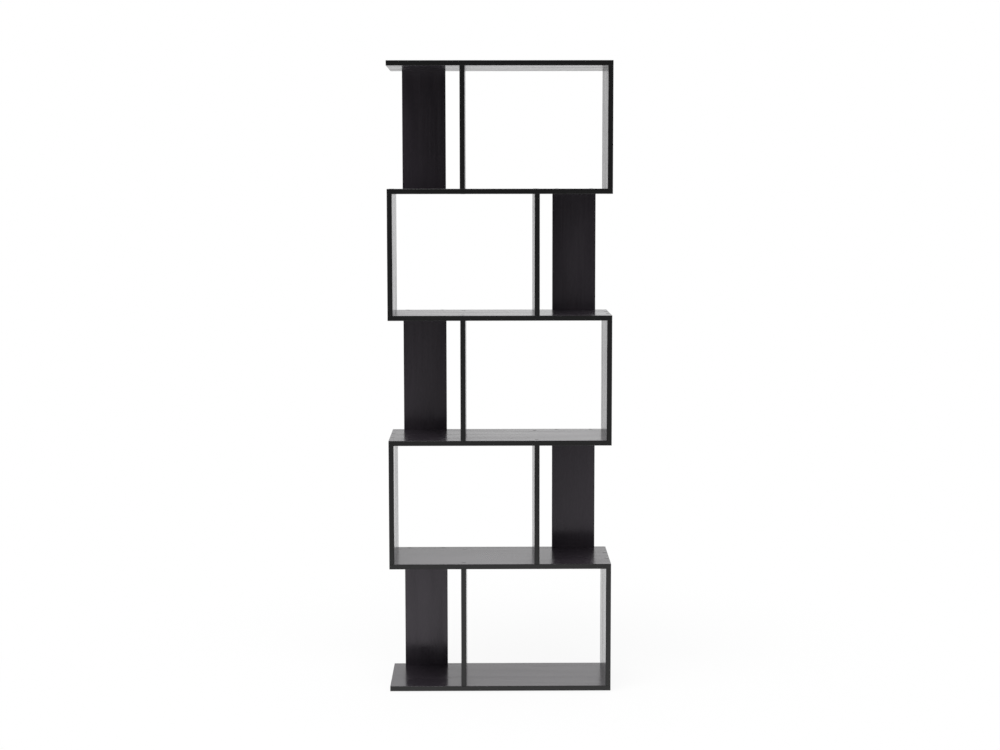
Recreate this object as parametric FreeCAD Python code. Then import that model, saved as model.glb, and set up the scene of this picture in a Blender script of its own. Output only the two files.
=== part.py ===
import FreeCAD, Part
import math
import os

# Zigzag bookshelf, a knock-down assembly of flat edged boards.
# Full-width boards lie one above another. Between each two stand three uprights:
# an outer panel at one end, a divider, and a narrow back panel near the open end.
# The outer panel changes ends at every level, which makes the zigzag.
# Millimetres, +Z up, front towards -Y, origin on the floor under the middle of the footprint.

# Boards
WIDTH = 650.0
DEPTH = 250.0
BOARD_THICKNESS = 15.0
COMPARTMENT_HEIGHT = 350.0
LEVEL_COUNT = 5
END_OVERHANG = 35.0
BACK_PANEL_WIDTH = 130.0
SLOT_WIDTH = 45.0
ARRIS_RADIUS = 1.0

# Connecting screws, driven through the lying boards into the ends of the uprights
SCREW_LENGTH = 50.0
SCREW_HEAD_DIAMETER = 10.0
SCREW_HEAD_HEIGHT = 3.0
SCREW_NECK_DIAMETER = 7.0
SCREW_NECK_SETBACK = 0.5
SCREW_CORE_DIAMETER = 5.0
SCREW_TIP_DIAMETER = 3.0
SCREW_TIP_LENGTH = 3.0
SOCKET_ACROSS_FLATS = 4.0
SOCKET_DEPTH = 3.2
SCREW_CLEARANCE = 0.1
PILOT_SPARE_DEPTH = 2.0

# Cover caps, pressed into the screw heads
CAP_DIAMETER = 12.0
CAP_CROWN_DIAMETER = 11.0
CAP_BEVEL_HEIGHT = 0.35
CAP_TOP_DIAMETER = 6.0
CAP_HEIGHT = 0.5
CAP_STEM_LENGTH = 2.6
CAP_STEM_CLEARANCE = 0.1

# Wooden dowels, blind in both boards
DOWEL_DIAMETER = 8.0
DOWEL_LENGTH = 30.0
DOWEL_CHAMFER = 1.2
DOWEL_CLEARANCE = 0.1
DOWEL_SPARE_DEPTH = 0.5
DOWEL_FLOOR = 4.5

# Places of the fixings, from the edges of the upright that they hold
OUTER_SCREW_INSET = 83.0
OUTER_DOWEL_INSET = 30.0
DIVIDER_SCREW_INSET = 30.0
BACK_PANEL_SCREW_INSET = 12.5

# Nail-on glides under the bottom board
GLIDE_DIAMETER = 20.0
GLIDE_HEIGHT = 3.0
GLIDE_CHAMFER = 0.6
GLIDE_INSET = 25.0
GLIDE_COLUMNS = 3
NAIL_DIAMETER = 1.8
NAIL_TIP_DIAMETER = 0.4
NAIL_DEPTH = 11.0
NAIL_HEAD_DIAMETER = 6.0
NAIL_HEAD_THICKNESS = 0.8
NAIL_COVER = 1.2
NAIL_CLEARANCE = 0.05

# Heights and places that follow from the sizes above
UP = FreeCAD.Vector(0, 0, 1)
PITCH = COMPARTMENT_HEIGHT + BOARD_THICKNESS
HALF_WIDTH = WIDTH / 2
HALF_DEPTH = DEPTH / 2
HALF_BOARD = BOARD_THICKNESS / 2
OUTER_CENTRE = HALF_WIDTH - HALF_BOARD
BACK_PANEL_CENTRE = HALF_WIDTH - END_OVERHANG - BACK_PANEL_WIDTH / 2
DIVIDER_CENTRE = BACK_PANEL_CENTRE - BACK_PANEL_WIDTH / 2 - SLOT_WIDTH - HALF_BOARD
BACK_PANEL_DEPTH_CENTRE = HALF_DEPTH - HALF_BOARD
DOWEL_BOARD_DEPTH = BOARD_THICKNESS - DOWEL_FLOOR - DOWEL_SPARE_DEPTH

pieces = {}
drillings = {}
screws = []
caps = []
dowels = []


def point(x, y, z):
    return FreeCAD.Vector(x, y, z)


def turned(profile):
    """Solid of revolution about Z of a closed profile given as (radius, height) points."""
    outline = Part.makePolygon([point(r, 0, z) for r, z in profile + profile[:1]])
    return Part.Face(outline).revolve(point(0, 0, 0), UP, 360)


def hexagon(across_flats, bottom, height):
    """Hexagonal prism that stands on the given height, about the Z axis."""
    radius = across_flats / math.sqrt(3)
    corners = [math.radians(60 * i) for i in range(7)]
    outline = Part.makePolygon([point(radius * math.cos(a), radius * math.sin(a), bottom) for a in corners])
    return Part.Face(outline).extrude(UP * height)


def placed(shape, x, y, z, upwards):
    """Copy of a downward-pointing shape at a place, turned over where it points upwards."""
    turn = FreeCAD.Rotation(point(1, 0, 0), 180 if upwards else 0)
    copy = shape.copy()
    copy.Placement = FreeCAD.Placement(point(x, y, z), turn)
    return copy


def rounded_board(name, centre, size, is_arris):
    """Board about a centre, with a small radius on the edges that the test picks by their direction."""
    low = centre - size / 2
    block = Part.makeBox(size.x, size.y, size.z, low)
    arrises = [e for e in block.Edges if is_arris(e.tangentAt(e.FirstParameter))]
    pieces[name] = block.makeFillet(ARRIS_RADIUS, arrises)
    drillings[name] = []


def lying_board(name, underside):
    """Full-width board, edged on all four sides."""
    centre = point(0, 0, underside + HALF_BOARD)
    size = point(WIDTH, DEPTH, BOARD_THICKNESS)
    rounded_board(name, centre, size, lambda direction: abs(direction.z) < 0.5)


def upright(name, x, y, underside, width, depth):
    """Upright board whose cut ends stay sharp and meet the lying boards."""
    centre = point(x, y, underside + COMPARTMENT_HEIGHT / 2)
    size = point(width, depth, COMPARTMENT_HEIGHT)
    rounded_board(name, centre, size, lambda direction: abs(direction.z) > 0.5)


# Fixings are made once, pointing down with the joint's outer face at height zero.
def connecting_screw():
    """Countersunk connecting screw with a smooth neck, a plain core and a hexagon socket."""
    head, neck = SCREW_HEAD_DIAMETER / 2, SCREW_NECK_DIAMETER / 2
    core, tip = SCREW_CORE_DIAMETER / 2, SCREW_TIP_DIAMETER / 2
    neck_end = BOARD_THICKNESS - SCREW_NECK_SETBACK
    body = turned([
        (0, 0),
        (head, 0),
        (neck, -SCREW_HEAD_HEIGHT),
        (neck, -neck_end),
        (core, -neck_end),
        (core, SCREW_TIP_LENGTH - SCREW_LENGTH),
        (tip, -SCREW_LENGTH),
        (0, -SCREW_LENGTH),
    ])
    return body.cut(hexagon(SOCKET_ACROSS_FLATS, -SOCKET_DEPTH, SOCKET_DEPTH))


def screw_hole():
    """Countersunk clearance hole through a lying board."""
    head = SCREW_HEAD_DIAMETER / 2 + SCREW_CLEARANCE
    neck = SCREW_NECK_DIAMETER / 2 + SCREW_CLEARANCE
    return turned([(0, 0), (head, 0), (neck, -SCREW_HEAD_HEIGHT), (neck, -BOARD_THICKNESS), (0, -BOARD_THICKNESS)])


def pilot_hole():
    """Blind hole in the end of an upright for the screw's core."""
    depth = SCREW_LENGTH - BOARD_THICKNESS + PILOT_SPARE_DEPTH
    return Part.makeCylinder(SCREW_CORE_DIAMETER / 2 + SCREW_CLEARANCE, depth, point(0, 0, -BOARD_THICKNESS), -UP)


def cover_cap():
    """Low bevelled cap with a hexagonal stem that plugs the screw's socket."""
    rim, crown, top = CAP_DIAMETER / 2, CAP_CROWN_DIAMETER / 2, CAP_TOP_DIAMETER / 2
    disc = turned([(0, 0), (rim, 0), (crown, CAP_BEVEL_HEIGHT), (top, CAP_HEIGHT), (0, CAP_HEIGHT)])
    stem = hexagon(SOCKET_ACROSS_FLATS - 2 * CAP_STEM_CLEARANCE, -CAP_STEM_LENGTH, CAP_STEM_LENGTH)
    return disc.fuse(stem).removeSplitter()


def dowel():
    """Dowel with bevelled ends, across the joint plane at the inner face of a lying board."""
    radius = DOWEL_DIAMETER / 2
    top = DOWEL_BOARD_DEPTH - BOARD_THICKNESS
    bottom = top - DOWEL_LENGTH
    return turned([
        (0, top),
        (radius - DOWEL_CHAMFER, top),
        (radius, top - DOWEL_CHAMFER),
        (radius, bottom + DOWEL_CHAMFER),
        (radius - DOWEL_CHAMFER, bottom),
        (0, bottom),
    ])


def dowel_hole():
    """Blind holes of both boards for one dowel, as one drill."""
    length = DOWEL_LENGTH + 2 * DOWEL_SPARE_DEPTH
    top = point(0, 0, DOWEL_BOARD_DEPTH + DOWEL_SPARE_DEPTH - BOARD_THICKNESS)
    return Part.makeCylinder(DOWEL_DIAMETER / 2 + DOWEL_CLEARANCE, length, top, -UP)


SCREW, SCREW_HOLE, PILOT_HOLE = connecting_screw(), screw_hole(), pilot_hole()
CAP, DOWEL, DOWEL_HOLE = cover_cap(), dowel(), dowel_hole()


def join(board, standing, face, upwards, screw_places, dowel_places):
    """Fixes one end of an upright to a lying board whose outer face is at the given height."""
    for x, y in screw_places:
        screws.append(placed(SCREW, x, y, face, upwards))
        caps.append(placed(CAP, x, y, face, upwards))
        drillings[board].append(placed(SCREW_HOLE, x, y, face, upwards))
        drillings[standing].append(placed(PILOT_HOLE, x, y, face, upwards))
    for x, y in dowel_places:
        dowels.append(placed(DOWEL, x, y, face, upwards))
        for drilled in (board, standing):
            drillings[drilled].append(placed(DOWEL_HOLE, x, y, face, upwards))


def either_side(middle, reach):
    return (middle - reach, middle + reach)


def lying_board_name(number):
    if number == 0:
        return "bottom_board"
    return "top_board" if number == LEVEL_COUNT else f"shelf_{number}"


def level(number):
    """Three uprights of one level, counted from the floor, with the outer panel to the right on odd levels."""
    side = 1 if number % 2 else -1
    floor = GLIDE_HEIGHT + (number - 1) * PITCH
    standing_at = floor + BOARD_THICKNESS
    outer_x, divider_x, back_x = side * OUTER_CENTRE, -side * DIVIDER_CENTRE, -side * BACK_PANEL_CENTRE
    outer, divider, back = (f"{kind}_{number}" for kind in ("outer_panel", "divider", "back_panel"))
    upright(outer, outer_x, 0, standing_at, BOARD_THICKNESS, DEPTH)
    upright(divider, divider_x, 0, standing_at, BOARD_THICKNESS, DEPTH)
    upright(back, back_x, BACK_PANEL_DEPTH_CENTRE, standing_at, BACK_PANEL_WIDTH, BOARD_THICKNESS)
    outer_screws = [(outer_x, y) for y in either_side(0, HALF_DEPTH - OUTER_SCREW_INSET)]
    outer_dowels = [(outer_x, y) for y in either_side(0, HALF_DEPTH - OUTER_DOWEL_INSET)]
    divider_screws = [(divider_x, y) for y in either_side(0, HALF_DEPTH - DIVIDER_SCREW_INSET)]
    back_reach = BACK_PANEL_WIDTH / 2 - BACK_PANEL_SCREW_INSET
    back_screws = [(x, BACK_PANEL_DEPTH_CENTRE) for x in either_side(back_x, back_reach)]
    ends = (
        (lying_board_name(number - 1), floor, True),
        (lying_board_name(number), floor + PITCH + BOARD_THICKNESS, False),
    )
    for board, face, upwards in ends:
        join(board, outer, face, upwards, outer_screws, outer_dowels)
        join(board, divider, face, upwards, divider_screws, [(divider_x, 0)])
        join(board, back, face, upwards, back_screws, [(back_x, BACK_PANEL_DEPTH_CENTRE)])


def glide_nail():
    """Nail whose head is moulded into a glide, with the glide's upper face at height zero."""
    shank, head, tip = NAIL_DIAMETER / 2, NAIL_HEAD_DIAMETER / 2, NAIL_TIP_DIAMETER / 2
    head_top = NAIL_HEAD_THICKNESS + NAIL_COVER - GLIDE_HEIGHT
    return turned([
        (0, NAIL_DEPTH),
        (tip, NAIL_DEPTH),
        (shank, NAIL_DEPTH - NAIL_DIAMETER),
        (shank, head_top),
        (head, head_top),
        (head, NAIL_COVER - GLIDE_HEIGHT),
        (0, NAIL_COVER - GLIDE_HEIGHT),
    ])


def glide(nail):
    """Round plastic glide with a bevelled foot, moulded round its nail."""
    radius = GLIDE_DIAMETER / 2
    disc = turned([
        (0, 0),
        (radius, 0),
        (radius, GLIDE_CHAMFER - GLIDE_HEIGHT),
        (radius - GLIDE_CHAMFER, -GLIDE_HEIGHT),
        (0, -GLIDE_HEIGHT),
    ])
    return disc.cut(nail)


def glides():
    """Two rows of glides under the bottom board, and the holes that their nails make."""
    nail = glide_nail()
    foot = glide(nail)
    nail_hole = Part.makeCylinder(NAIL_DIAMETER / 2 + NAIL_CLEARANCE, NAIL_DEPTH)
    reach = HALF_WIDTH - GLIDE_INSET
    feet, nails = [], []
    for column in range(GLIDE_COLUMNS):
        x = -reach + 2 * reach * column / (GLIDE_COLUMNS - 1)
        for y in either_side(0, HALF_DEPTH - GLIDE_INSET):
            feet.append(placed(foot, x, y, GLIDE_HEIGHT, False))
            nails.append(placed(nail, x, y, GLIDE_HEIGHT, False))
            drillings["bottom_board"].append(placed(nail_hole, x, y, GLIDE_HEIGHT, False))
    pieces["floor_glides"] = Part.makeCompound(feet)
    pieces["glide_nails"] = Part.makeCompound(nails)


def export():
    """Drills every board and writes one STEP file for each named piece."""
    os.makedirs("parts", exist_ok=True)
    for name, tools in drillings.items():
        pieces[name] = pieces[name].cut(tools)
    for name, shape in pieces.items():
        shape.exportStep(f"parts/{name}.step")


for number in range(LEVEL_COUNT + 1):
    lying_board(lying_board_name(number), GLIDE_HEIGHT + number * PITCH)
for number in range(1, LEVEL_COUNT + 1):
    level(number)
glides()
pieces["connecting_screws"] = Part.makeCompound(screws)
pieces["screw_cover_caps"] = Part.makeCompound(caps)
pieces["wooden_dowels"] = Part.makeCompound(dowels)
export()
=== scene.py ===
"""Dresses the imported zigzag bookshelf: edged black boards, cover caps, hidden fixings and a plain studio.

Metres, +Z up, front towards -Y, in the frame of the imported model.
"""
import math

import bmesh
import bpy
from bpy.props import FloatProperty, FloatVectorProperty, IntProperty, PointerProperty
from mathutils import Matrix, Vector


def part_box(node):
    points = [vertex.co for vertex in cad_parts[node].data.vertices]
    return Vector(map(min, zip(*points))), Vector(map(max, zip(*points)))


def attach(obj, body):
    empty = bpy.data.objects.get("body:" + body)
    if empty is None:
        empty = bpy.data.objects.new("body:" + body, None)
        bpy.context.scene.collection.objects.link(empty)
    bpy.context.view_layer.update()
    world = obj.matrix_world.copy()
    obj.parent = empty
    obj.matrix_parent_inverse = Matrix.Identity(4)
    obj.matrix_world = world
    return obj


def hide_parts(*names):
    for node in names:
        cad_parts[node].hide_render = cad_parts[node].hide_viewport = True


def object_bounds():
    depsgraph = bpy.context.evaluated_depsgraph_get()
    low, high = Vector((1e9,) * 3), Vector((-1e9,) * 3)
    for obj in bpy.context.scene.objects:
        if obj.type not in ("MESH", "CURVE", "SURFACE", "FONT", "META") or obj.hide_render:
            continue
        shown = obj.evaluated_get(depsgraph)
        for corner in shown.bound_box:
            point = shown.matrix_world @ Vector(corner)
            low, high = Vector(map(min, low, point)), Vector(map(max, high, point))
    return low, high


bl_info = {
    "name": "Zigzag Bookshelf",
    "version": (1, 0, 0),
    "blender": (4, 5, 0),
    "location": "View3D > Sidebar > Bookshelf",
    "description": "Builds the boards, fixings and studio of a zigzag bookshelf on its CAD frame",
    "category": "Object",
}

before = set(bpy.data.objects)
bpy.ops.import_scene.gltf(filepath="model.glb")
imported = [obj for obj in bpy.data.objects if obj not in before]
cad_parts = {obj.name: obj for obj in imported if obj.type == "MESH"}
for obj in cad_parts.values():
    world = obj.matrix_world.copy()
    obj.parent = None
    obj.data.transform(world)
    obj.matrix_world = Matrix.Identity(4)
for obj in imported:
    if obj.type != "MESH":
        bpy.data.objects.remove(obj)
CAD_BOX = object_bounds()

BODY = "root"
IMAGE_WIDTH = 1000
MILLIMETRE = 0.001
LEVELS = sum(name.startswith("divider_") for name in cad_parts)

# A board's own axes: its length along the grain, its width and its thickness
ALONG, ACROSS, THROUGH = range(3)
# Material slots of a board
FACE, BAND, CUT = range(3)
# A face whose normal has at least this share of one axis lies square to it
SQUARE = 0.999
# Profile of a bevel that is a quarter circle
ROUND = 0.5
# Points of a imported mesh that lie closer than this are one
WELD = 0.01 * MILLIMETRE

GRAIN_MAP = "grain"
# How far the grain moves along and across itself, for each metre that a board lies to the right and higher up
GRAIN_SHIFTS = ((1.0, 3.1), (2.3, 1.7))

# Start, end and steps of the arcs in a cap's section, in degrees from its radius
SHOULDER_ARC = (0, 85, 5)
CROWN_ARC = (60, 90, 3)

# Strength of each finer layer of noise beside the one before
NOISE_ROUGHNESS = 0.6
# Sockets of a Mix node that mixes colours
MIX_FACTOR, MIX_FIRST, MIX_SECOND, MIX_RESULT = 0, 6, 7, 2

WHITE = (1.0, 1.0, 1.0, 1.0)
BLACK = (0.0, 0.0, 0.0, 1.0)
FLOOR_SIDES = 96
# Shares of the floor's radius between which it fades to plain white
FLOOR_FADE = (0.3, 0.8)
# Where the studio changes, as parts of a unit direction: sideways, backwards and upwards
LEFT_SIDE_SPAN = (-0.20, 0.06)
DIM_FRONT_SPAN = (-0.75, -0.15)
FAR_FLOOR_SPAN = (-0.26, 0.06)


# Settings
def setting(kind, **options):
    """A function that makes one kind of setting from its name, description and default."""
    def make(name, description, default):
        return kind(name=name, description=description, default=default, **options)
    return make


length = setting(FloatProperty, unit="LENGTH", precision=5)
position = setting(FloatVectorProperty, size=3, subtype="TRANSLATION")
angle = setting(FloatProperty, subtype="ANGLE")
pixels = setting(FloatProperty, subtype="PIXEL")
power = setting(FloatProperty, unit="POWER")
share = setting(FloatProperty, min=0.0, max=1.0, subtype="FACTOR")
refraction = setting(FloatProperty, min=1.0)
colour = setting(FloatVectorProperty, min=0.0, max=1.0, size=3, subtype="COLOR")
steps = setting(IntProperty, min=1)
sides = setting(IntProperty, min=8)


class BoardSettings(bpy.types.PropertyGroup):
    """Sizes and finishes of the boards."""

    arris: length("Arris radius", "Rounding along the edge bands", 1.0 * MILLIMETRE)
    rounding_steps: steps("Rounding steps", "Faces across a rounded edge", 4)
    seam_width: length("Seam width", "Groove between a face and its edge band", 0.2 * MILLIMETRE)
    seam_depth: length("Seam depth", "Depth of that groove", 0.08 * MILLIMETRE)
    end_skin: length("End skin", "Black skin round the raw core at a cut end", 1.5 * MILLIMETRE)
    face: colour("Face", "Melamine of the faces", (0.0248, 0.0208, 0.0261))
    grain: colour("Grain", "Paler streaks of the printed grain", (0.0281, 0.0238, 0.0294))
    pore: colour("Pore", "Bottom of the grain's pores", (0.0172, 0.0147, 0.0179))
    pore_strength: share("Pore strength", "How far the pores darken the face", 0.7)
    gloss_tint: colour("Gloss tint", "Faint purple of what the faces mirror head on", (0.98, 0.92, 1.00))
    face_index: refraction("Face index", "Refractive index of the melamine", 1.55)
    face_roughness: share("Face roughness", "Roughness of the smoothest satin", 0.105)
    streak_haze: share("Streak haze", "Extra roughness of the paler streaks", 0.11)
    handled_haze: share("Handled haze", "Extra roughness of handled patches", 0.03)
    fleck_haze: share("Fleck haze", "Extra roughness of the dull flecks", 0.18)
    band: colour("Band", "Edge band", (0.0080, 0.0079, 0.0081))
    band_line: colour("Band line", "Paler lines along the edge band", (0.0108, 0.0107, 0.0109))
    band_index: refraction("Band index", "Refractive index of the edge band", 1.44)
    band_roughness: share("Band roughness", "Roughness of the smoothest edge band", 0.095)
    band_haze: share("Band haze", "Extra roughness of the band's lines and of its worn spots", 0.06)
    chipboard: colour("Chipboard", "Raw core at the hidden cut ends", (0.40, 0.27, 0.15))


class FixingSettings(bpy.types.PropertyGroup):
    """Sizes and finishes of the fixings."""

    cap_shoulder: length("Cap shoulder", "Rounding round the edge of a cover cap", 0.4 * MILLIMETRE)
    cap_sides: sides("Cap sides", "Faces round a cover cap", 40)
    cap: colour("Cap", "Plastic of the cover caps", (0.032, 0.030, 0.032))
    steel: colour("Steel", "Zinc plating of the screws and nails", (0.58, 0.58, 0.60))
    beech: colour("Beech", "Wood of the dowels", (0.52, 0.33, 0.18))
    glide: colour("Glide", "Plastic of the glides", (0.030, 0.029, 0.028))


class StageSettings(bpy.types.PropertyGroup):
    """Studio light and camera."""

    floor_radius: length("Floor radius", "Reach of the white floor", 2.0)
    floor: share("Floor", "Brightness of the floor's paint", 0.86)
    floor_lift: share("Floor lift", "Share of plain white that the eye sees in the floor by the shelf", 0.90)
    ambient: share("Ambient", "Even light from all sides", 0.72)
    far_floor: share("Far floor", "What gloss sees of the floor far in front, below the dim room", 0.90)
    left_side: share("Left side", "What gloss sees of the studio's left side", 0.66)
    key_place: position("Key place", "Middle of the large soft lamp", (-0.6, -1.5, 4.8))
    key_size: length("Key size", "Side of the large soft lamp", 2.4)
    key_power: power("Key power", "Power of the large soft lamp", 130.0)
    fill_place: position("Fill place", "Middle of the soft lamp on the other side", (1.8, -3.4, 3.4))
    fill_size: length("Fill size", "Side of the soft lamp on the other side", 1.2)
    fill_power: power("Fill power", "Power of the soft lamp on the other side", 16.0)
    camera_place: position("Camera", "Place of the camera", (-0.0405, -5.1546, 1.4860))
    camera_pitch: angle("Pitch", "Camera's tilt down", 0.09634)
    camera_yaw: angle("Yaw", "Camera's turn to the right", 0.00804)
    camera_roll: angle("Roll", "Camera's lean", -0.00125)
    focal_length: pixels("Focal length", "Focal length in image pixels", 1745.0)
    axis_rise: pixels("Axis rise", "Optical axis above the image's middle, in image pixels", 20.4)


# Shader graphs
class Wire:
    """A socket of a node tree. Arithmetic on it adds Math nodes."""

    def __init__(self, graph, socket):
        self.graph = graph
        self.socket = socket

    def _math(self, operation, first, second):
        return self.graph.add("ShaderNodeMath", {"operation": operation}, {0: first, 1: second})

    def __add__(self, other):
        return self._math("ADD", self, other)

    def __sub__(self, other):
        return self._math("SUBTRACT", self, other)

    def __rsub__(self, other):
        return self._math("SUBTRACT", other, self)

    def __mul__(self, other):
        return self._math("MULTIPLY", self, other)

    __radd__ = __add__
    __rmul__ = __mul__


class Graph:
    """The node tree of a material or world, emptied and ready to be filled."""

    def __init__(self, owner):
        owner.use_nodes = True
        self.tree = owner.node_tree
        self.tree.nodes.clear()

    def add(self, kind, settings, sockets, output=0):
        """Adds a node, sets its settings and then its sockets, and returns the named output as a wire."""
        node = self.tree.nodes.new(kind)
        for name, value in settings.items():
            setattr(node, name, value)
        for name, value in sockets.items():
            if isinstance(value, Wire):
                self.tree.links.new(value.socket, node.inputs[name])
            else:
                node.inputs[name].default_value = value
        return Wire(self, node.outputs[output]) if node.outputs else None

    def noise(self, place, scale, detail=2.0):
        """Cloudy noise with about so many features a metre."""
        sockets = {"Vector": place, "Scale": scale, "Detail": detail, "Roughness": NOISE_ROUGHNESS}
        return self.add("ShaderNodeTexNoise", {}, sockets, "Fac")

    def stretched(self, place, scales, detail=2.0):
        """Noise with its own number of features a metre along each axis."""
        scaled = self.add("ShaderNodeVectorMath", {"operation": "MULTIPLY"}, {0: place, 1: scales})
        return self.noise(scaled, scale=1.0, detail=detail)

    def grained(self, place, along, across, detail=2.0):
        """Noise with so many features a metre along and across the grain."""
        return self.stretched(place, (along, across, 1.0), detail)

    def ramp(self, value, low, high):
        """0 below low, 1 above high, and a smooth rise between."""
        sockets = {"Value": value, "From Min": low, "From Max": high}
        return self.add("ShaderNodeMapRange", {"interpolation_type": "SMOOTHSTEP"}, sockets)

    def limit(self, value):
        """Held between 0 and 1."""
        return self.add("ShaderNodeClamp", {}, {"Value": value})

    def mix(self, factor, first, second):
        """From the first colour to the second as the factor goes from 0 to 1."""
        first, second = (c if isinstance(c, Wire) else (*c, 1.0) for c in (first, second))
        sockets = {MIX_FACTOR: factor, MIX_FIRST: first, MIX_SECOND: second}
        return self.add("ShaderNodeMix", {"data_type": "RGBA"}, sockets, MIX_RESULT)

    def mix_shaders(self, factor, first, second):
        return self.add("ShaderNodeMixShader", {}, {0: factor, 1: first, 2: second})

    def bump(self, height, depth, strength):
        """Normal of a surface that the height raises by up to a depth in metres."""
        return self.add("ShaderNodeBump", {}, {"Height": height, "Distance": depth, "Strength": strength})

    def surface(self, **sockets):
        """Ends a material in a Principled shader. Socket names are given with _ for each space."""
        named = {name.replace("_", " "): value for name, value in sockets.items()}
        shader = self.add("ShaderNodeBsdfPrincipled", {}, named)
        self.add("ShaderNodeOutputMaterial", {}, {"Surface": shader})


def between(low, high, part):
    """From low to high as the part goes from 0 to 1. Each may be a number or a wire."""
    return low + part * (high - low)


def shade(tone, factor):
    """A colour made lighter or darker by a factor."""
    return tuple(factor * c for c in tone)


def fresh_material(name):
    """The material of that name, with an empty graph to fill."""
    material = bpy.data.materials.get(name) or bpy.data.materials.new(name)
    return material, Graph(material)


def grain_place(graph):
    """Metres along and across the grain, from the boards' own map."""
    return graph.add("ShaderNodeUVMap", {"uv_map": GRAIN_MAP}, {})


def solid_place(graph):
    """Metres in the piece itself, for pieces with no grain map."""
    return graph.add("ShaderNodeTexCoord", {}, {}, "Object")


def sight(graph):
    """Three wires, each 1 for one sight: the camera's, what gloss mirrors and what shows through glass."""
    kinds = ("Is Camera Ray", "Is Glossy Ray", "Is Transmission Ray")
    return [graph.add("ShaderNodeLightPath", {}, {}, kind) for kind in kinds]


# Materials
def melamine(look):
    """Satin black melamine with a faint printed grain: broad streaks, fine fibres and short open pores."""
    material, graph = fresh_material("Black melamine")
    place = grain_place(graph)
    streak = graph.grained(place, along=1.6, across=26.0, detail=3.0)
    fibre = graph.grained(place, along=5.0, across=320.0)
    pore = graph.ramp(graph.grained(place, along=55.0, across=1500.0, detail=1.0), low=0.60, high=0.72)
    fleck = graph.ramp(graph.grained(place, along=500.0, across=4000.0), low=0.48, high=0.62)
    handled = graph.noise(place, scale=7.0, detail=3.0)
    figure = graph.ramp(between(fibre, streak, part=0.65), low=0.38, high=0.64)
    printed = graph.mix(figure, look.face, look.grain)
    satin = look.face_roughness + figure * look.streak_haze + handled * look.handled_haze
    fibre_height = 0.35
    graph.surface(
        Base_Color=graph.mix(pore * look.pore_strength, printed, look.pore),
        Roughness=satin + fleck * look.fleck_haze,
        IOR=look.face_index,
        Specular_Tint=(*look.gloss_tint, 1.0),
        Normal=graph.bump(fibre * fibre_height - pore, depth=0.01 * MILLIMETRE, strength=0.4),
    )
    return material


def edge_band(look):
    """Edge band in a deeper black, a little smoother than the faces, with fine lines along the edge."""
    material, graph = fresh_material("Black edge band")
    place = grain_place(graph)
    line = graph.grained(place, along=3.0, across=900.0)
    wear = graph.noise(place, scale=40.0, detail=3.0)
    graph.surface(
        Base_Color=graph.mix(graph.ramp(line, low=0.40, high=0.65), look.band, look.band_line),
        Roughness=look.band_roughness + (line + wear) * look.band_haze,
        IOR=look.band_index,
        Normal=graph.bump(line, depth=0.01 * MILLIMETRE, strength=0.5),
    )
    return material


def chipboard(look):
    """Raw chipboard of the cut ends: pressed flakes of several browns."""
    material, graph = fresh_material("Raw chipboard")
    place = grain_place(graph)
    cells = {"Vector": place, "Scale": 420.0}
    flake = graph.add("ShaderNodeTexVoronoi", {"feature": "F1"}, cells, "Distance")
    tone = graph.noise(place, scale=650.0, detail=3.0)
    patch = graph.ramp(flake + tone, low=0.55, high=1.2)
    graph.surface(
        Base_Color=graph.mix(patch, look.chipboard, shade(look.chipboard, factor=0.45)),
        Roughness=between(0.75, 0.95, tone),
        Normal=graph.bump(flake, depth=0.3 * MILLIMETRE, strength=0.6),
    )
    return material


def cap_plastic(look):
    """Smooth moulded plastic of the cover caps."""
    material, graph = fresh_material("Cap plastic")
    place = solid_place(graph)
    mottle = graph.noise(place, scale=300.0)
    fine = graph.noise(place, scale=2500.0)
    graph.surface(
        Base_Color=graph.mix(mottle, look.cap, shade(look.cap, factor=1.4)),
        Roughness=between(0.06, 0.12, mottle),
        Normal=graph.bump(fine, depth=0.005 * MILLIMETRE, strength=0.2),
    )
    return material


def zinc_steel(look):
    """Zinc-plated steel with cloudy plating and turning marks."""
    material, graph = fresh_material("Zinc-plated steel")
    place = solid_place(graph)
    cloud = graph.noise(place, scale=120.0, detail=3.0)
    turning = graph.stretched(place, scales=(60.0, 60.0, 4000.0))
    graph.surface(
        Base_Color=graph.mix(cloud, look.steel, shade(look.steel, factor=0.72)),
        Metallic=1.0,
        Roughness=between(0.24, 0.40, cloud),
        Normal=graph.bump(turning, depth=0.03 * MILLIMETRE, strength=0.4),
    )
    return material


def beech(look):
    """Raw beech of the dowels, with short flecks along the wood."""
    material, graph = fresh_material("Raw beech")
    place = solid_place(graph)
    fibre = graph.stretched(place, scales=(900.0, 900.0, 40.0), detail=3.0)
    fleck = graph.ramp(graph.stretched(place, scales=(1600.0, 1600.0, 200.0)), low=0.60, high=0.72)
    fleck_strength = 0.5
    wood = graph.mix(fibre, look.beech, shade(look.beech, factor=0.7))
    graph.surface(
        Base_Color=graph.mix(fleck * fleck_strength, wood, shade(look.beech, factor=0.45)),
        Roughness=between(0.55, 0.75, fibre),
        Normal=graph.bump(fibre, depth=0.05 * MILLIMETRE, strength=0.4),
    )
    return material


def glide_plastic(look):
    """Matt plastic of the glides, scuffed where it slides."""
    material, graph = fresh_material("Glide plastic")
    place = solid_place(graph)
    scuff = graph.stretched(place, scales=(900.0, 120.0, 900.0), detail=3.0)
    pale = graph.ramp(scuff, low=0.55, high=0.75)
    graph.surface(
        Base_Color=graph.mix(pale, look.glide, shade(look.glide, factor=1.8)),
        Roughness=between(0.42, 0.67, scuff),
        Normal=graph.bump(scuff, depth=0.04 * MILLIMETRE, strength=0.4),
    )
    return material


# Meshes
def add_object(name, data):
    """Adds an object to the scene."""
    made = bpy.data.objects.new(name, data)
    bpy.context.collection.objects.link(made)
    return made


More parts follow.
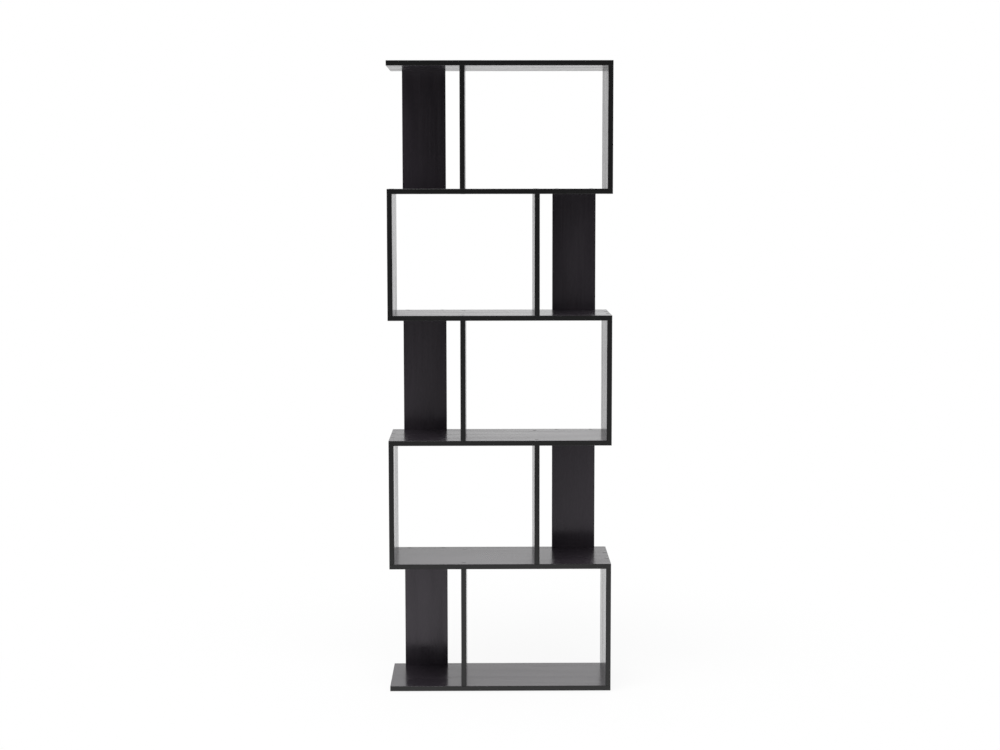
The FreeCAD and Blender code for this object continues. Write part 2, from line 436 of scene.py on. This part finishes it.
def add_mesh(name, bm, materials):
    """Turns a bmesh into an object with those materials in its slots."""
    mesh = bpy.data.meshes.new(name)
    bm.to_mesh(mesh)
    bm.free()
    for material in materials:
        mesh.materials.append(material)
    return add_object(name, mesh)


def add_piece(name, bm, place, materials, node):
    """Turns a bmesh into a piece that rides with the shelf and stands for a CAD node."""
    piece = add_mesh(name, bm, materials)
    piece.matrix_world = place
    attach(piece, BODY)
    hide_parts(node)


def turn_to(grain_axis, cross_axis):
    """Rotation that lays a board's length along one axis and its width along another."""
    along, across = Vector(grain_axis), Vector(cross_axis)
    return Matrix((along, across, along.cross(across))).transposed()


def facing(direction):
    """Index of the axis that a face looks along."""
    return max(range(3), key=lambda axis: abs(direction[axis]))


def rounded_block(size, banded_all_round, look):
    """Block with rounded edges: all of them where it is banded all round, or else those along its length."""
    bm = bmesh.new()
    bmesh.ops.create_cube(bm, size=1.0, matrix=Matrix.Diagonal((*size, 1.0)))
    edges = bm.edges[:]
    if not banded_all_round:
        edges = [e for e in edges if e.verts[0].co.x * e.verts[1].co.x < 0]
    rounding = {"offset": look.arris, "segments": look.rounding_steps, "profile": ROUND}
    bmesh.ops.bevel(bm, geom=edges, affect="EDGES", **rounding)
    return bm


def grooved(bm, look):
    """Cuts the seam between each broad face and its edge band as a fine V groove."""
    half = look.seam_width / 2
    bm.normal_update()
    broad_faces = sorted(bm.faces, key=lambda face: face.calc_area())[-2:]
    for depth in (-look.seam_depth, look.seam_depth):
        bmesh.ops.inset_region(bm, faces=broad_faces, thickness=half, depth=depth, use_even_offset=True)


def finished(bm, banded_all_round, look):
    """Gives each face of a board its finish. A cut end shows its raw core inside a black skin."""
    bm.normal_update()
    ends = [] if banded_all_round else [f for f in bm.faces if facing(f.normal) == ALONG]
    for face in bm.faces:
        axis = facing(face.normal)
        face.material_index = FACE if axis == THROUGH else BAND
        face.smooth = abs(face.normal[axis]) < SQUARE
    bmesh.ops.inset_region(bm, faces=ends, thickness=look.end_skin)
    for face in ends:
        face.material_index = CUT


def mapped(bm, shift):
    """Writes the grain map: metres along and across the grain, moved by a board's own shift."""
    layer = bm.loops.layers.uv.new(GRAIN_MAP)
    axes_by_facing = {THROUGH: (ALONG, ACROSS), ACROSS: (ALONG, THROUGH), ALONG: (ACROSS, THROUGH)}
    for face in bm.faces:
        along, across = axes_by_facing[facing(face.normal)]
        for corner in face.loops:
            place = corner.vert.co
            corner[layer].uv = (place[along] + shift[0], place[across] + shift[1])


def board(node, grain_axis, cross_axis, banded_all_round, materials, look):
    """Edged board over a CAD board, its length along the grain axis and its thickness across both axes."""
    low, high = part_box(node)
    centre = (low + high) / 2
    turn = turn_to(grain_axis, cross_axis)
    size = [abs(side) for side in turn.transposed() @ (high - low)]
    bm = rounded_block(size, banded_all_round, look)
    grooved(bm, look)
    finished(bm, banded_all_round, look)
    mapped(bm, [right * centre.x + up * centre.z for right, up in GRAIN_SHIFTS])
    place = Matrix.Translation(centre) @ turn.to_4x4()
    add_piece(f"{node}_edged", bm, place, materials, node)


def loose_boxes(node):
    """Low and high corners of a CAD node's separate solids, each with the height of its widest ring."""
    bm = bmesh.new()
    bm.from_mesh(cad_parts[node].data)
    bmesh.ops.remove_doubles(bm, verts=bm.verts, dist=WELD)
    left = set(bm.verts)
    found = []
    while left:
        reached = [left.pop()]
        for vert in reached:
            near = {e.other_vert(vert) for e in vert.link_edges} & left
            left -= near
            reached.extend(near)
        places = [v.co for v in reached]
        low = Vector([min(p[axis] for p in places) for axis in range(3)])
        high = Vector([max(p[axis] for p in places) for axis in range(3)])
        middle = (low + high) / 2
        widest = max(places, key=lambda p: (p.xy - middle.xy).length)
        found.append((low, high, widest.z))
    bm.free()
    return sorted(found, key=lambda box: tuple(box[0]))


def arc(centre, radii, start, end, count):
    """Points of an elliptical arc as (radius, height), in degrees from the radius axis."""
    angles = [math.radians(start + (end - start) * i / count) for i in range(count + 1)]
    return [(centre[0] + radii[0] * math.cos(a), centre[1] + radii[1] * math.sin(a)) for a in angles]


def cap_section(radius, rise, shoulder):
    """Half a cap's section as (radius, height): a flat seat, a rounded shoulder and a low crown."""
    edge = arc((radius - shoulder, 0), (shoulder, shoulder), *SHOULDER_ARC)
    crown = arc((0, shoulder / 2), (radius - shoulder / 2, rise - shoulder / 2), *CROWN_ARC)
    return [(0, 0), *edge, *crown[:-1], (0, rise)]


def turned_solid(bm, section, facets, place):
    """Adds a solid of revolution about Z. The section runs from the axis round to the axis again."""
    turns = [2 * math.pi * i / facets for i in range(facets)]
    rings = []
    for radius, height in section:
        ring = turns if radius else turns[:1]
        points = [Vector((radius * math.cos(a), radius * math.sin(a), height)) for a in ring]
        rings.append([bm.verts.new(place @ point) for point in points])
    for first, second in zip(rings, rings[1:]):
        for i in range(facets):
            corners = [first[i % len(first)], first[(i + 1) % len(first)]]
            corners += [second[(i + 1) % len(second)], second[i % len(second)]]
            face = bm.faces.new(list(dict.fromkeys(corners)))
            face.smooth = True


# Operators
def numbered(kind, count):
    """Names of the nodes of one kind, counted from the floor."""
    return [f"{kind}_{n}" for n in range(1, count + 1)]


class BoardOperator:
    """Shared by the operators that dress one kind of board."""

    bl_options = {"REGISTER", "UNDO"}
    nodes = []
    grain_axis = (0, 0, 1)
    cross_axis = (0, 1, 0)
    banded_all_round = False

    def execute(self, context):
        look = context.scene.bookshelf_boards
        materials = [melamine(look), edge_band(look), chipboard(look)]
        for node in self.nodes:
            board(node, self.grain_axis, self.cross_axis, self.banded_all_round, materials, look)
        return {"FINISHED"}


class BOOKSHELF_OT_lying_boards(BoardOperator, bpy.types.Operator):
    """Bottom board, shelves and top board, edged on all four sides"""

    bl_idname = "bookshelf.lying_boards"
    bl_label = "Lying boards"
    nodes = ["bottom_board", *numbered("shelf", LEVELS - 1), "top_board"]
    grain_axis = (1, 0, 0)
    banded_all_round = True


class BOOKSHELF_OT_outer_panels(BoardOperator, bpy.types.Operator):
    """Outer panels, which change ends at every level"""

    bl_idname = "bookshelf.outer_panels"
    bl_label = "Outer panels"
    nodes = numbered("outer_panel", LEVELS)


class BOOKSHELF_OT_dividers(BoardOperator, bpy.types.Operator):
    """Dividers between the main cells and the end bays"""

    bl_idname = "bookshelf.dividers"
    bl_label = "Dividers"
    nodes = numbered("divider", LEVELS)


class BOOKSHELF_OT_back_panels(BoardOperator, bpy.types.Operator):
    """Narrow back panels of the end bays"""

    bl_idname = "bookshelf.back_panels"
    bl_label = "Back panels"
    nodes = numbered("back_panel", LEVELS)
    cross_axis = (1, 0, 0)


class BOOKSHELF_OT_cover_caps(bpy.types.Operator):
    """Low domed caps over the screw heads"""

    bl_idname = "bookshelf.cover_caps"
    bl_label = "Cover caps"
    bl_options = {"REGISTER", "UNDO"}

    def execute(self, context):
        look = context.scene.bookshelf_fixings
        bm = bmesh.new()
        for low, high, seat in loose_boxes("screw_cover_caps"):
            above, below = high.z - seat, seat - low.z
            # A cap's stem is longer than its crown is high
            turn = Matrix() if above < below else Matrix.Rotation(math.pi, 4, "X")
            section = cap_section((high.x - low.x) / 2, min(above, below), look.cap_shoulder)
            middle = (low + high) / 2
            place = Matrix.Translation((middle.x, middle.y, seat)) @ turn
            turned_solid(bm, section, look.cap_sides, place)
        add_piece("cover_caps", bm, Matrix(), [cap_plastic(look)], "screw_cover_caps")
        return {"FINISHED"}


class BOOKSHELF_OT_hidden_fixings(bpy.types.Operator):
    """Finishes of the screws, dowels, glides and nails"""

    bl_idname = "bookshelf.hidden_fixings"
    bl_label = "Hidden fixings"
    bl_options = {"REGISTER", "UNDO"}

    def execute(self, context):
        look = context.scene.bookshelf_fixings
        steel = zinc_steel(look)
        finishes = {
            "connecting_screws": steel,
            "glide_nails": steel,
            "wooden_dowels": beech(look),
            "floor_glides": glide_plastic(look),
        }
        for node, material in finishes.items():
            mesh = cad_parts[node].data
            mesh.materials.clear()
            mesh.materials.append(material)
        return {"FINISHED"}


class BOOKSHELF_OT_stage(bpy.types.Operator):
    """White floor, soft lamps, studio surroundings and the camera"""

    bl_idname = "bookshelf.stage"
    bl_label = "Stage"
    bl_options = {"REGISTER", "UNDO"}

    def execute(self, context):
        stage = context.scene.bookshelf_stage
        self.add_floor(stage)
        self.add_surroundings(context.scene, stage)
        self.add_lamp("Key lamp", stage.key_place, stage.key_size, stage.key_power)
        self.add_lamp("Fill lamp", stage.fill_place, stage.fill_size, stage.fill_power)
        self.add_camera(context.scene, stage)
        context.scene.view_settings.view_transform = "Standard"
        return {"FINISHED"}

    def add_floor(self, stage):
        """Round white floor with a faint shadow. It fades to plain white outwards and is clear from below."""
        bm = bmesh.new()
        bmesh.ops.create_circle(bm, cap_ends=True, radius=stage.floor_radius, segments=FLOOR_SIDES)
        floor = add_mesh("studio_floor", bm, [self.floor_material(stage)])

    def floor_material(self, stage):
        """White paint that the eye and gloss see lifted towards plain white."""
        material, graph = fresh_material("White floor")
        tone = (stage.floor, stage.floor, stage.floor, 1.0)
        paint = graph.add("ShaderNodeBsdfDiffuse", {}, {"Color": tone})
        white = graph.add("ShaderNodeEmission", {}, {"Color": WHITE})
        camera, gloss, glass = sight(graph)
        reach = graph.add("ShaderNodeVectorMath", {"operation": "LENGTH"}, {0: solid_place(graph)}, "Value")
        outwards = graph.ramp(reach, *(part * stage.floor_radius for part in FLOOR_FADE))
        lift = (camera + gloss + glass) * between(stage.floor_lift, 1.0, outwards)
        above = graph.mix_shaders(lift, paint, white)
        below = graph.add("ShaderNodeBsdfTransparent", {}, {})
        from_below = graph.add("ShaderNodeNewGeometry", {}, {}, "Backfacing")
        shader = graph.mix_shaders(from_below, above, below)
        graph.add("ShaderNodeOutputMaterial", {}, {"Surface": shader})
        return material

    def add_surroundings(self, scene, stage):
        """White to the camera and even for plain light, with a studio for gloss.

        Gloss sees white behind the shelf, less to its left, a dim room in front and the floor below that.
        """
        scene.world = bpy.data.worlds.new("Studio")
        graph = Graph(scene.world)
        direction = graph.add("ShaderNodeTexCoord", {}, {}, "Generated")
        axes = [graph.add("ShaderNodeSeparateXYZ", {}, {"Vector": direction}, axis) for axis in "XYZ"]
        sideways, backwards, upwards = axes
        past_left = graph.ramp(sideways, *LEFT_SIDE_SPAN)
        behind = graph.ramp(backwards, *DIM_FRONT_SPAN) * between(stage.left_side, 1.0, past_left)
        lowest, highest = FAR_FLOOR_SPAN
        downwards = graph.limit((highest - upwards) * (1.0 / (highest - lowest)))
        in_front = downwards * downwards * stage.far_floor
        gloss_sees = between(in_front, 1.0, behind)
        camera, gloss, glass = sight(graph)
        even = (1.0 - gloss - glass - camera) * stage.ambient
        white_share = camera + glass + gloss * gloss_sees + even
        dark = graph.add("ShaderNodeBackground", {}, {"Color": BLACK})
        white = graph.add("ShaderNodeBackground", {}, {"Color": WHITE})
        light = graph.mix_shaders(white_share, dark, white)
        graph.add("ShaderNodeOutputWorld", {}, {"Surface": light})

    def add_lamp(self, name, place, size, watts):
        """Square soft lamp that looks at the middle of the shelf."""
        light = bpy.data.lights.new(name, "AREA")
        light.energy = watts
        light.size = size
        lamp = add_object(name, light)
        lamp.location = place
        middle = (CAD_BOX[0] + CAD_BOX[1]) / 2
        lamp.rotation_euler = (middle - lamp.location).to_track_quat("-Z", "Y").to_euler()

    def add_camera(self, scene, stage):
        """Camera at the photograph's viewpoint, with the optical axis a little above the image's middle."""
        data = bpy.data.cameras.new("Camera")
        data.lens = stage.focal_length * data.sensor_width / IMAGE_WIDTH
        data.shift_y = -stage.axis_rise / IMAGE_WIDTH
        camera = add_object("Camera", data)
        turn = Matrix.Rotation(-stage.camera_yaw, 4, "Z")
        tilt = Matrix.Rotation(math.pi / 2 - stage.camera_pitch, 4, "X")
        lean = Matrix.Rotation(stage.camera_roll, 4, "Z")
        camera.matrix_world = Matrix.Translation(stage.camera_place) @ turn @ tilt @ lean
        scene.camera = camera


class BOOKSHELF_PT_panel(bpy.types.Panel):
    """Lists the bookshelf's operators and settings"""

    bl_idname = "BOOKSHELF_PT_panel"
    bl_label = "Zigzag bookshelf"
    bl_space_type = "VIEW_3D"
    bl_region_type = "UI"
    bl_category = "Bookshelf"

    def draw(self, context):
        for operator in OPERATORS:
            self.layout.operator(operator.bl_idname)
        for group, kind in SETTINGS.items():
            box = self.layout.box()
            for name in kind.__annotations__:
                box.prop(getattr(context.scene, group), name)


OPERATORS = (
    BOOKSHELF_OT_lying_boards,
    BOOKSHELF_OT_outer_panels,
    BOOKSHELF_OT_dividers,
    BOOKSHELF_OT_back_panels,
    BOOKSHELF_OT_cover_caps,
    BOOKSHELF_OT_hidden_fixings,
    BOOKSHELF_OT_stage,
)
SETTINGS = {
    "bookshelf_boards": BoardSettings,
    "bookshelf_fixings": FixingSettings,
    "bookshelf_stage": StageSettings,
}
CLASSES = (*SETTINGS.values(), *OPERATORS, BOOKSHELF_PT_panel)


def register():
    for kind in CLASSES:
        bpy.utils.register_class(kind)
    for name, kind in SETTINGS.items():
        setattr(bpy.types.Scene, name, PointerProperty(type=kind))


def unregister():
    for name in SETTINGS:
        delattr(bpy.types.Scene, name)
    for kind in reversed(CLASSES):
        bpy.utils.unregister_class(kind)


def main():
    register()
    bpy.ops.bookshelf.lying_boards()
    bpy.ops.bookshelf.outer_panels()
    bpy.ops.bookshelf.dividers()
    bpy.ops.bookshelf.back_panels()
    bpy.ops.bookshelf.cover_caps()
    bpy.ops.bookshelf.hidden_fixings()
    bpy.ops.bookshelf.stage()


if __name__ == "__main__":
    main()
